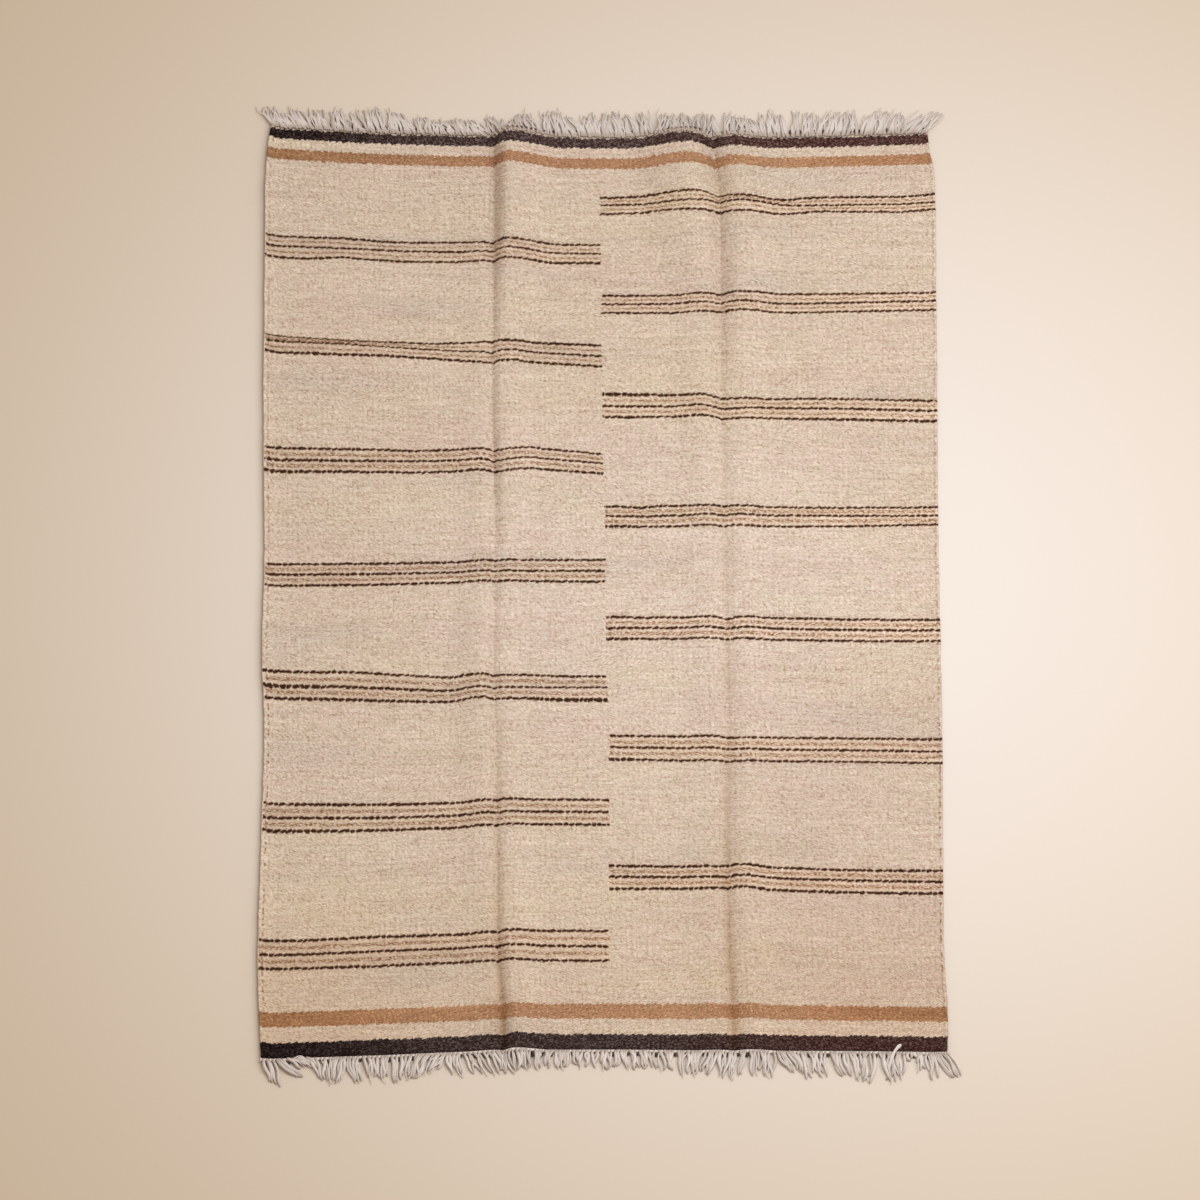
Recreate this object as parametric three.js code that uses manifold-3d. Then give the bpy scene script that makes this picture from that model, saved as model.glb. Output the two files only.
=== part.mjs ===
// A hand-woven kilim rug laid out on a floor, still marked by the two lengthwise folds it was stored in.
// Millimetres, +Z up, +X across the rug from left to right, +Y along it from the near end to the far end.
// Every point of the weave has a place "across" and "along" the flat cloth, both measured from its middle.
import * as THREE from 'three';
import Module from 'manifold-3d';
import { mergeVertices } from 'three/addons/utils/BufferGeometryUtils.js';

const wasm = await Module();
wasm.setup();

// Driving dimensions
const clothWidth = 1200;
const clothLength = 1766;
const clothThickness = 3;
const selvedgeWidth = 7;
const selvedgeThickness = 4.6;
const selvedgeRim = 2.4;
const rowCount = 38;

const edgeCordWidth = 5;
const edgeCordHeight = 4;
const partingGap = 0.3;

const lockCount = 144;
const lockWidth = 4.4;
const lockHeight = 3.1;
const lockSteps = 3;
const lockTipTaper = 0.6;
const lockTipSpacing = 5;
const lockRootDepth = 3;
const lockRootRise = 0.4;
const lockDroop = 1.5;
const farLockLength = 44;
const nearLockLength = 47;

// The side edges wander: how far each stands right of its straight line, and how high it curls off the floor
const sideEdges = [
  { along: 883, left: 10, right: -13, leftCurl: 6, rightCurl: 2 },
  { along: 850, left: 5, right: -10, leftCurl: 8, rightCurl: 2 },
  { along: 790, left: 1, right: -2, leftCurl: 9, rightCurl: 1 },
  { along: 560, left: 1, right: -2, leftCurl: 9, rightCurl: 1 },
  { along: 300, left: 2, right: -5, leftCurl: 8, rightCurl: 2 },
  { along: 60, left: 6, right: -3, leftCurl: 7, rightCurl: 1 },
  { along: -140, left: 4, right: -1, leftCurl: 9, rightCurl: 1 },
  { along: -270, left: 9, right: -1, leftCurl: 6, rightCurl: 2 },
  { along: -520, left: 5, right: 0, leftCurl: 7, rightCurl: 1 },
  { along: -700, left: 2, right: 1, leftCurl: 7, rightCurl: 2 },
  { along: -800, left: 6, right: 6, leftCurl: 7, rightCurl: 2 },
  { along: -883, left: 9, right: 5, leftCurl: 6, rightCurl: 3 },
];
const curlReach = 30;

// The weft was never beaten dead level: how far its rows bow along the rug, at seven places across it
const bowPlaces = [
  { name: 'left', across: -600 },
  { name: 'leftMiddle', across: -400 },
  { name: 'leftFold', across: -190 },
  { name: 'centre', across: 0 },
  { name: 'rightFold', across: 220 },
  { name: 'rightMiddle', across: 450 },
  { name: 'right', across: 600 },
];
const weftBow = [
  { along: 883, left: 21, leftMiddle: 9, leftFold: 3, centre: 0, rightFold: -1, rightMiddle: 3, right: 8 },
  { along: 700, left: 20, leftMiddle: 10, leftFold: 3, centre: 0, rightFold: 1, rightMiddle: 8, right: 12 },
  { along: 500, left: 19, leftMiddle: 12, leftFold: 3, centre: 0, rightFold: 0, rightMiddle: 3, right: 5 },
  { along: 310, left: 8, leftMiddle: 4, leftFold: 1, centre: 0, rightFold: -4, rightMiddle: -9, right: -12 },
  { along: 110, left: -6, leftMiddle: -5, leftFold: -2, centre: 0, rightFold: 0, rightMiddle: -2, right: -2 },
  { along: -120, left: 10, leftMiddle: 4, leftFold: 0, centre: 0, rightFold: 1, rightMiddle: -4, right: -5 },
  { along: -360, left: -9, leftMiddle: -9, leftFold: -2, centre: 0, rightFold: -3, rightMiddle: -5, right: -8 },
  { along: -610, left: -17, leftMiddle: -9, leftFold: -3, centre: 0, rightFold: 0, rightMiddle: -7, right: -10 },
  { along: -883, left: -18, leftMiddle: -11, leftFold: -2, centre: 0, rightFold: -2, rightMiddle: -3, right: -5 },
];

// The two storage folds: where each creases the cloth, and how high the cloth stands left and right of it
const storageFolds = [
  { along: 883, crease1: -191, left1: 2, right1: 29, crease2: 207, left2: 32, right2: 14 },
  { along: 750, crease1: -190, left1: 4, right1: 29, crease2: 212, left2: 29, right2: 23 },
  { along: 660, crease1: -191, left1: 5, right1: 26, crease2: 214, left2: 20, right2: 20 },
  { along: 550, crease1: -192, left1: 4, right1: 13, crease2: 215, left2: 10, right2: 15 },
  { along: 450, crease1: -193, left1: 4, right1: 10, crease2: 215, left2: 10, right2: 9 },
  { along: 350, crease1: -193, left1: 6, right1: 12, crease2: 216, left2: 10, right2: 7 },
  { along: 240, crease1: -190, left1: 8, right1: 14, crease2: 218, left2: 8, right2: 7 },
  { along: 30, crease1: -189, left1: 7, right1: 5, crease2: 219, left2: 7, right2: 7 },
  { along: -190, crease1: -191, left1: 14, right1: 5, crease2: 221, left2: 6, right2: 7 },
  { along: -430, crease1: -187, left1: 8, right1: 7, crease2: 219, left2: 5, right2: 8 },
  { along: -690, crease1: -180, left1: 5, right1: 11, crease2: 224, left2: 5, right2: 8 },
  { along: -883, crease1: -176, left1: 4, right1: 13, crease2: 228, left2: 4, right2: 7 },
];
// A taller ridge stands further from its crease and reaches further: a base and a share of its rise
const foldSpread = {
  1: { crest: 16, crestPerRise: 0.35, reach: 60, reachPerRise: 2.3 },
  2: { crest: 26, crestPerRise: 0.6, reach: 64, reachPerRise: 3.1 },
};

// The fringe's lean at places across each end, in degrees towards +X, and its length against the usual one
const farFringe = [
  { across: -600, lean: -46, length: 0.9 },
  { across: -560, lean: -34, length: 0.95 },
  { across: -470, lean: -32, length: 0.92 },
  { across: -405, lean: -24, length: 1.12 },
  { across: -340, lean: -28, length: 0.85 },
  { across: -300, lean: -18, length: 0.68 },
  { across: -240, lean: -28, length: 0.75 },
  { across: -180, lean: -26, length: 0.9 },
  { across: -120, lean: -20, length: 1.2 },
  { across: -30, lean: -22, length: 1.08 },
  { across: 40, lean: -4, length: 1.05 },
  { across: 120, lean: -8, length: 1.2 },
  { across: 165, lean: -12, length: 1.3 },
  { across: 220, lean: -10, length: 1.05 },
  { across: 300, lean: -24, length: 1.05 },
  { across: 400, lean: 4, length: 1.08 },
  { across: 520, lean: 10, length: 1.05 },
  { across: 600, lean: 40, length: 1.08 },
];
const nearFringe = [
  { across: -600, lean: 34, length: 1 },
  { across: -565, lean: 32, length: 1.05 },
  { across: -550, lean: 20, length: 0.3 },
  { across: -522, lean: 0, length: 0.3 },
  { across: -508, lean: -8, length: 1 },
  { across: -430, lean: -2, length: 1 },
  { across: -300, lean: -22, length: 0.98 },
  { across: -210, lean: 20, length: 0.92 },
  { across: -120, lean: -6, length: 0.75 },
  { across: 0, lean: -8, length: 0.75 },
  { across: 100, lean: 4, length: 0.8 },
  { across: 200, lean: -4, length: 0.98 },
  { across: 300, lean: 16, length: 0.95 },
  { across: 400, lean: 14, length: 1.08 },
  { across: 516, lean: -4, length: 1.15 },
  { across: 530, lean: 4, length: 0.3 },
  { across: 546, lean: 10, length: 0.3 },
  { across: 560, lean: 28, length: 1.1 },
  { across: 600, lean: 42, length: 1.2 },
];
const leanScatter = 20;
const lengthScatter = 0.22;

// A smooth curve through one column of a table, held level past its ends
function readTable(rows, place, column, at) {
  const ascending = rows[0][place] < rows[rows.length - 1][place] ? rows : [...rows].reverse();
  const last = ascending.length - 1;
  if (at <= ascending[0][place]) return ascending[0][column];
  if (at >= ascending[last][place]) return ascending[last][column];
  let i = 0;
  while (at > ascending[i + 1][place]) i += 1;
  const slope = (k) => {
    const before = ascending[Math.max(k - 1, 0)];
    const after = ascending[Math.min(k + 1, last)];
    return (after[column] - before[column]) / (after[place] - before[place]);
  };
  const span = ascending[i + 1][place] - ascending[i][place];
  const t = (at - ascending[i][place]) / span;
  const rise = ascending[i + 1][column] - ascending[i][column];
  const startLag = slope(i) * span - rise;
  const endLag = slope(i + 1) * span - rise;
  return ascending[i][column] + rise * t + t * (1 - t) * (startLag * (1 - t) - endLag * t);
}

// The height of one ridge at a distance from its crease: steep out of the crease, easing back to the floor
function ridgeHeight(distance, rise, spread) {
  const crest = spread.crest + spread.crestPerRise * rise;
  const reach = spread.reach + spread.reachPerRise * rise;
  if (distance <= 0 || distance >= reach) return 0;
  if (distance < crest) return rise * Math.sin((Math.PI / 2) * (distance / crest));
  return rise * 0.5 * (1 + Math.cos((Math.PI * (distance - crest)) / (reach - crest)));
}

// How high the underside of the cloth is off the floor
function liftAt(across, along) {
  let lift = 0;
  for (const fold of [1, 2]) {
    const fromCrease = across - readTable(storageFolds, 'along', `crease${fold}`, along);
    const side = fromCrease < 0 ? 'left' : 'right';
    const rise = readTable(storageFolds, 'along', `${side}${fold}`, along);
    lift += ridgeHeight(Math.abs(fromCrease), rise, foldSpread[fold]);
  }
  const fromSide = clothWidth / 2 - Math.abs(across);
  if (fromSide < curlReach) {
    const curl = readTable(sideEdges, 'along', across < 0 ? 'leftCurl' : 'rightCurl', along);
    lift += curl * (1 - fromSide / curlReach) ** 2;
  }
  return lift;
}

// Where a point of the flat cloth lies on the floor, with the height of its underside
function layDown(across, along) {
  const leftShift = readTable(sideEdges, 'along', 'left', along);
  const rightShift = readTable(sideEdges, 'along', 'right', along);
  const share = across / clothWidth + 0.5;
  const bows = bowPlaces.map((p) => ({ across: p.across, bow: readTable(weftBow, 'along', p.name, along) }));
  return new THREE.Vector3(
    across + leftShift + (rightShift - leftShift) * share,
    along + readTable(bows, 'across', 'bow', across),
    liftAt(across, along),
  );
}

// Distances from a crease or side edge at which the mesh has a column, close together near it
function gradedSteps(first, growth, limit) {
  const steps = [];
  for (let step = first, at = first; at < limit; step *= growth, at += step) steps.push(at);
  return steps;
}

// The mesh's columns, each as a share of the panel that it lies in, so that they follow the creases
function panelColumns() {
  const foldWidths = [storageFolds[0].crease1, storageFolds[0].crease2];
  const borders = [-clothWidth / 2, ...foldWidths, clothWidth / 2];
  const columns = [];
  for (let panel = 0; panel < 3; panel += 1) {
    const width = borders[panel + 1] - borders[panel];
    const isSelvedge = [panel === 0, panel === 2];
    const fromBorder = (selvedge) =>
      selvedge ? [selvedgeWidth * 0.5, selvedgeWidth, curlReach, 2.6 * curlReach] : gradedSteps(6, 1.42, width / 2);
    const leftSteps = fromBorder(isSelvedge[0]);
    const rightSteps = fromBorder(isSelvedge[1]);
    columns.push({ panel, share: 0 });
    leftSteps.forEach((d) => columns.push({ panel, share: d / width }));
    rightSteps.reverse().forEach((d) => columns.push({ panel, share: 1 - d / width }));
  }
  columns.push({ panel: 2, share: 1 });
  return columns;
}

const columns = panelColumns();

function acrossOfColumn(index, along) {
  const creases = [1, 2].map((fold) => readTable(storageFolds, 'along', `crease${fold}`, along));
  const borders = [-clothWidth / 2, ...creases, clothWidth / 2];
  const { panel, share } = columns[index];
  return borders[panel] + (borders[panel + 1] - borders[panel]) * share;
}

// A closed lattice of columns, rows and two faces, each point put in its place by a function
function latticeGeometry(columnSteps, rowSteps, placePoint) {
  const box = new THREE.BoxGeometry(columnSteps, rowSteps, 1, columnSteps, rowSteps, 1);
  box.deleteAttribute('normal');
  box.deleteAttribute('uv');
  const lattice = mergeVertices(box);
  const position = lattice.getAttribute('position');
  for (let i = 0; i < position.count; i += 1) {
    const column = Math.round(position.getX(i) + columnSteps / 2);
    const row = Math.round(position.getY(i) + rowSteps / 2);
    const point = placePoint(column, row, position.getZ(i) > 0);
    position.setXYZ(i, point.x, point.y, point.z);
  }
  return lattice;
}

// The woven cloth: plain sheet, with each side edge wound thicker where the weft turns back
function clothGeometry() {
  return latticeGeometry(columns.length - 1, rowCount, (column, row, isTop) => {
    const along = clothLength * (row / rowCount - 0.5);
    const across = acrossOfColumn(column, along);
    const point = layDown(across, along);
    if (isTop) {
      const fromSide = clothWidth / 2 - Math.abs(across);
      if (fromSide < 0.1) point.z += selvedgeRim;
      else if (fromSide < 0.75 * selvedgeWidth) point.z += selvedgeThickness;
      else point.z += clothThickness;
    }
    return point;
  });
}

// The twined cord that closes one end of the weave, parted from the cloth by a hair's breadth
function edgeCordGeometry(end) {
  return latticeGeometry(columns.length - 1, 1, (column, row, isTop) => {
    const isOuter = end > 0 ? row === 1 : row === 0;
    const across = acrossOfColumn(column, (end * clothLength) / 2);
    const point = layDown(across, (end * clothLength) / 2);
    point.y += end * (isOuter ? partingGap + edgeCordWidth : partingGap);
    if (isTop) point.z += edgeCordHeight;
    return point;
  });
}

// A repeatable scatter between 0 and 1 for the n-th lock
function scatter(n) {
  const wave = Math.sin(n * 127.1 + 11.7) * 43758.5453;
  return wave - Math.floor(wave);
}

// The roots and tips of the locks at one end, kept in order so that no lock crosses the next
function planLocks(end, fringe, usualLength, firstNumber) {
  const locks = [];
  const pitch = (clothWidth - lockWidth * 2) / (lockCount - 1);
  for (let k = 0; k < lockCount; k += 1) {
    const across = -clothWidth / 2 + lockWidth + k * pitch;
    const tuft = Math.floor(k / 3 + 0.4 * scatter(firstNumber + Math.floor(k / 3)));
    const length =
      usualLength *
      readTable(fringe, 'across', 'length', across) *
      (1 + lengthScatter * (scatter(firstNumber + 1000 + k) - 0.5));
    const lean =
      readTable(fringe, 'across', 'lean', across) + leanScatter * 2 * (scatter(firstNumber + 2000 + tuft) - 0.5);
    const root = layDown(across, (end * clothLength) / 2);
    root.y += end * (partingGap + edgeCordWidth - lockRootDepth);
    const drop = Math.min(root.z / length, 0.85);
    const reach = length * Math.sqrt(1 - drop * drop);
    const sideways = reach * Math.sin(THREE.MathUtils.degToRad(lean));
    const outward = reach * Math.cos(THREE.MathUtils.degToRad(lean));
    locks.push({ root, tip: new THREE.Vector3(root.x + sideways, root.y + end * outward, 0) });
  }
  for (let k = 1; k < lockCount; k += 1) {
    locks[k].tip.x = Math.max(locks[k].tip.x, locks[k - 1].tip.x + lockTipSpacing);
  }
  return locks;
}

// One lock of warp ends: three-sided, flat side down, falling from the cord's height to lie on the floor
function lockGeometry(lock) {
  const section = new THREE.Shape([new THREE.Vector2(-0.5, 0), new THREE.Vector2(0.5, 0), new THREE.Vector2(0, 1)]);
  const prism = new THREE.ExtrudeGeometry(section, { depth: 1, steps: lockSteps, bevelEnabled: false });
  prism.deleteAttribute('normal');
  prism.deleteAttribute('uv');
  const geometry = mergeVertices(prism);
  const position = geometry.getAttribute('position');
  const run = new THREE.Vector3().subVectors(lock.tip, lock.root).setZ(0);
  const sideways = new THREE.Vector3(-run.y, run.x, 0).normalize();
  for (let i = 0; i < position.count; i += 1) {
    const t = position.getZ(i);
    const taper = 1 - (1 - lockTipTaper) * t;
    const point = lock.root.clone().addScaledVector(run, t);
    point.addScaledVector(sideways, position.getX(i) * lockWidth * taper);
    const rootRise = t === 0 ? lockRootRise : 0;
    point.z = lock.root.z * (1 - t) ** lockDroop + rootRise + position.getY(i) * lockHeight * taper;
    position.setXYZ(i, point.x, point.y, point.z);
  }
  return geometry;
}

function toSolid(geometry) {
  const vertProperties = new Float32Array(geometry.getAttribute('position').array);
  const triVerts = new Uint32Array(geometry.getIndex().array);
  return new wasm.Manifold(new wasm.Mesh({ numProp: 3, vertProperties, triVerts }));
}

function toGeometry(solid) {
  const { vertProperties, triVerts } = solid.getMesh();
  const geometry = new THREE.BufferGeometry();
  geometry.setAttribute('position', new THREE.BufferAttribute(vertProperties, 3));
  geometry.setIndex(new THREE.BufferAttribute(triVerts, 1));
  return geometry;
}

// One end's fringe: its locks joined at their roots to the twined cord
function fringeGeometry(end, fringe, usualLength, firstNumber) {
  let solid = toSolid(edgeCordGeometry(end));
  for (const lock of planLocks(end, fringe, usualLength, firstNumber)) {
    solid = solid.add(toSolid(lockGeometry(lock)));
  }
  return toGeometry(solid);
}

const wool = new THREE.MeshStandardMaterial({ color: 0xd6c0a7, roughness: 0.95, metalness: 0 });
const warpYarn = new THREE.MeshStandardMaterial({ color: 0xd9d2c8, roughness: 0.9, metalness: 0 });

function namedMesh(name, geometry, material) {
  const mesh = new THREE.Mesh(geometry, material);
  mesh.name = name;
  return mesh;
}

const group = new THREE.Group();
group.add(namedMesh('cloth', clothGeometry(), wool));
group.add(namedMesh('far_fringe', fringeGeometry(1, farFringe, farLockLength, 0), warpYarn));
group.add(namedMesh('near_fringe', fringeGeometry(-1, nearFringe, nearLockLength, 5000), warpYarn));

// The origin is on the floor under the middle of everything
const extent = new THREE.Box3().setFromObject(group);
const middle = extent.getCenter(new THREE.Vector3());
group.position.set(-middle.x, -middle.y, -extent.min.z);

export default group;
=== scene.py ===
import math

import bpy
import numpy as np
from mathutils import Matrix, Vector, noise


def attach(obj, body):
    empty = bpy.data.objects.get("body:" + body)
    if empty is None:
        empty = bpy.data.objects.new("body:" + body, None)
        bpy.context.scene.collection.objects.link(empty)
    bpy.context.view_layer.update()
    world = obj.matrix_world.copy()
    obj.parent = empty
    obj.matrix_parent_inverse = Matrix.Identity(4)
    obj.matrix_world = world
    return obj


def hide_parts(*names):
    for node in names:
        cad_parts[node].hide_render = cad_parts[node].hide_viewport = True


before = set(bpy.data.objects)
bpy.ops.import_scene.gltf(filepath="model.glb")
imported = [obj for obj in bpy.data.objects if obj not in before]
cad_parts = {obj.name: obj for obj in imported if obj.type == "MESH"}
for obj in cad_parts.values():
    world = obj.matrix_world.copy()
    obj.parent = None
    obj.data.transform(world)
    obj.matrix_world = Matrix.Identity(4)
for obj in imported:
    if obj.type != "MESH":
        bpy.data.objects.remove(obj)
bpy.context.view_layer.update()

bpy.ops.object.select_all(action="DESELECT")

# The weave: one hand-woven, weft-faced sheet of undyed wool, about 3 mm thick. Every point of it has a place
# across and along the flat cloth, in metres from its middle, and is laid on the floor from there. The sides
# wander and curl, the weft rows bow, and two creases from storage still stand up, by tables in millimetres.
cloth_width = 1.200
cloth_length = 1.766
cloth_thickness = 0.003
middle_of_weave = (-0.01128, 0.00490)
per_metre = 1000

side_edges = {
    "along": (-883, -800, -700, -520, -270, -140, 60, 300, 560, 790, 850, 883),
    "left": (9, 6, 2, 5, 9, 4, 6, 2, 1, 1, 5, 10),
    "right": (5, 6, 1, 1, 2, 1, -1, -1, 0, -1, -10, -13),
    "left_curl": (6, 7, 7, 7, 6, 9, 7, 8, 9, 9, 8, 6),
    "right_curl": (3, 2, 2, 1, 2, 1, 1, 2, 1, 1, 2, 2),
}
curl_reach = 0.030

bow_places = (-600, -400, -190, 0, 220, 450, 600)
weft_bow = {
    "along": (-883, -610, -360, -120, 110, 310, 500, 700, 883),
    "left": (-18, -17, -9, 10, -6, 8, 19, 20, 21),
    "left_middle": (-11, -9, -9, 4, -5, 4, 12, 10, 9),
    "left_fold": (-2, -3, -2, 0, -2, 1, 3, 3, 3),
    "centre": (0, 0, 0, 0, 0, 0, 0, 0, 0),
    "right_fold": (-2, 0, -3, 1, 0, -4, 0, 1, -1),
    "right_middle": (-3, -7, -5, -4, -2, -9, 3, 8, 3),
    "right": (-5, -10, -8, -5, -2, -12, 5, 12, 8),
}

folds = {
    "along": (-883, -690, -430, -190, 30, 240, 350, 450, 550, 660, 750, 883),
    "crease1": (-176, -180, -187, -191, -189, -190, -193, -193, -192, -191, -190, -191),
    "left1": (4, 5, 8, 14, 7, 8, 6, 4, 4, 5, 4, 2),
    "right1": (13, 11, 7, 5, 5, 14, 12, 10, 13, 26, 29, 29),
    "crease2": (228, 224, 219, 221, 219, 218, 216, 215, 215, 214, 212, 207),
    "left2": (4, 5, 5, 6, 7, 8, 10, 10, 10, 20, 29, 32),
    "right2": (7, 8, 8, 7, 7, 7, 7, 9, 15, 20, 23, 14),
}
fold_spread = {
    1: {"crest": 0.016, "crest_per_rise": 0.35, "reach": 0.060, "reach_per_rise": 2.3},
    2: {"crest": 0.026, "crest_per_rise": 0.60, "reach": 0.064, "reach_per_rise": 3.1},
}


def smooth_curve(places, values, at):
    """A smooth curve through values at places, held level past its ends."""
    places = np.asarray(places, float)
    at = np.clip(np.asarray(at, float), places[0], places[-1])
    count = len(places)
    values = np.broadcast_to(np.asarray(values, float).reshape(count, -1), (count, at.size))
    before = np.maximum(np.arange(count) - 1, 0)
    after = np.minimum(np.arange(count) + 1, count - 1)
    slopes = (values[after] - values[before]) / (places[after] - places[before])[:, None]
    i = np.clip(np.searchsorted(places, at, side="right") - 1, 0, count - 2)
    each = np.arange(at.size)
    span = places[i + 1] - places[i]
    t = (at - places[i]) / span
    start = values[i, each]
    rise = values[i + 1, each] - start
    start_lag = slopes[i, each] * span - rise
    end_lag = slopes[i + 1, each] * span - rise
    return start + rise * t + t * (1 - t) * (start_lag * (1 - t) - end_lag * t)


def in_metres(values):
    """Values of a table that is written in millimetres."""
    return np.array(values) / per_metre


def read_off(table, name, along):
    """One row of such a table, at places along the cloth."""
    return smooth_curve(in_metres(table["along"]), in_metres(table[name]), along)


def ridge_height(distance, rise, spread):
    """One side of a fold: steep out of the crease, easing back to the floor."""
    crest = spread["crest"] + spread["crest_per_rise"] * rise
    reach = spread["reach"] + spread["reach_per_rise"] * rise
    climb = np.sin(np.pi / 2 * np.clip(distance / crest, 0, 1))
    fall = 0.5 * (1 + np.cos(np.pi * np.clip((distance - crest) / (reach - crest), 0, 1)))
    return np.where(distance > 0, rise * climb * fall, 0)


def lift_at(across, along):
    """How high the underside of the cloth is off the floor."""
    lift = np.zeros(across.size)
    for fold in (1, 2):
        from_crease = across - read_off(folds, f"crease{fold}", along)
        for side, way in (("left", -1), ("right", 1)):
            rise = read_off(folds, f"{side}{fold}", along)
            lift += ridge_height(way * from_crease, rise, fold_spread[fold])
    near_edge = np.clip(1 - (cloth_width / 2 - np.abs(across)) / curl_reach, 0, 1)
    left_curl = read_off(side_edges, "left_curl", along)
    right_curl = read_off(side_edges, "right_curl", along)
    return lift + np.where(across < 0, left_curl, right_curl) * near_edge**2


def lay_down(across, along):
    """Where points of the flat cloth lie, with the height of their underside."""
    across = np.atleast_1d(np.asarray(across, float))
    along = np.broadcast_to(np.asarray(along, float), across.shape)
    left = read_off(side_edges, "left", along)
    right = read_off(side_edges, "right", along)
    share = across / cloth_width + 0.5
    bows = np.array([read_off(weft_bow, name, along) for name in list(weft_bow)[1:]])
    x = across + left + (right - left) * share + middle_of_weave[0]
    y = along + smooth_curve(in_metres(bow_places), bows, across) + middle_of_weave[1]
    return np.stack([x, y, lift_at(across, along)], axis=1)


# The mesh has its columns close together at the creases and the side edges, where the cloth turns sharply.
cloth_rows = 262
crease_step = 0.0028
step_growth = 1.22
widest_step = 0.0098
selvedge_width = 0.007
selvedge_rise = 0.0012
selvedge_steps = (0.0004, 0.0014, 0.0028, 0.0046, 0.0062, 0.0078, 0.0110, 0.0160)


def graded_steps(limit):
    """Distances from a crease, close together near it and even further out."""
    steps, step = [crease_step], crease_step
    while steps[-1] + step * 1.3 < limit:
        step = min(step * step_growth, widest_step)
        steps.append(steps[-1] + step)
    return np.array(steps) * limit / (steps[-1] + step * 0.5)


def panel_shares(width, left_is_selvedge, right_is_selvedge):
    """The columns of one panel between a crease or side edge and the next, as shares of its width."""
    from_edge = np.append(selvedge_steps, selvedge_steps[-1] + graded_steps(width / 2 - selvedge_steps[-1]))
    from_left = from_edge if left_is_selvedge else graded_steps(width / 2)
    from_right = from_edge if right_is_selvedge else graded_steps(width / 2)
    return np.concatenate([[0], from_left / width, 1 - from_right[::-1] / width])


def points_of(piece):
    """The points of a piece's mesh, one to a row."""
    points = np.empty(len(piece.data.vertices) * 3)
    piece.data.vertices.foreach_get("co", points)
    return points.reshape(-1, 3)


usual_creases = (-0.188, 0.222)
border_middles = [-cloth_width / 2, *usual_creases, cloth_width / 2]
panels = []
for panel in range(3):
    panel_width = border_middles[panel + 1] - border_middles[panel]
    for share in panel_shares(panel_width, panel == 0, panel == 2):
        panels.append((panel, share))
panels.append((2, 1.0))
cloth_columns = len(panels) - 1

bpy.ops.mesh.primitive_grid_add(x_subdivisions=cloth_columns, y_subdivisions=cloth_rows, size=1)
cloth = bpy.context.object
cloth.name = "woven_cloth"
grid_points = points_of(cloth)
column_of = np.rint((grid_points[:, 0] + 0.5) * cloth_columns).astype(int)
row_of = np.rint((grid_points[:, 1] + 0.5) * cloth_rows).astype(int)
along_of = cloth_length * (row_of / cloth_rows - 0.5)
crease1_of = read_off(folds, "crease1", along_of)
crease2_of = read_off(folds, "crease2", along_of)
side_of = np.full(len(along_of), cloth_width / 2)
borders = np.stack([-side_of, crease1_of, crease2_of, side_of])
panel_of = np.array([panel for panel, share in panels])[column_of]
share_of = np.array([share for panel, share in panels])[column_of]
each_point = np.arange(len(along_of))
left_border = borders[panel_of, each_point]
across_of = left_border + (borders[panel_of + 1, each_point] - left_border) * share_of

# Small unevenness that no fold explains: slack spots in the field, and a rounded, wandering edge where the
# weft turns back.
slack_height = 0.0009
slack_size = 0.060
edge_round = 0.0010
edge_round_width = 0.0014
edge_wander = 0.0011
edge_wander_length = 0.016
edge_wander_reach = 0.012


def drift(points, size, seed):
    """Smooth scatter between about -1 and 1 over points of the cloth."""
    return np.array([noise.noise(Vector((x / size, y / size, seed))) for x, y in points])


laid = lay_down(across_of, along_of)
flat_points = np.stack([across_of, along_of], axis=1)
slack = drift(flat_points, slack_size, 3.0) + 0.5 * drift(flat_points, slack_size / 2.3, 8.0)
laid[:, 2] += cloth_thickness + slack_height * np.clip(slack + 0.25, 0, None)
from_side = cloth_width / 2 - np.abs(across_of)
selvedge_bulge = np.sin(np.pi * np.clip(from_side / selvedge_width, 0, 1)) ** 0.8
edge_drop = edge_round * np.clip(1 - from_side / edge_round_width, 0, 1)
laid[:, 2] += selvedge_rise * selvedge_bulge - edge_drop
edge_drift = drift(np.stack([np.sign(across_of), along_of], axis=1), edge_wander_length, 1.0)
laid[:, 0] += edge_wander * edge_drift * np.clip(1 - from_side / edge_wander_reach, 0, 1)
cloth.data.vertices.foreach_set("co", laid.ravel())
cloth.data.update()

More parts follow.
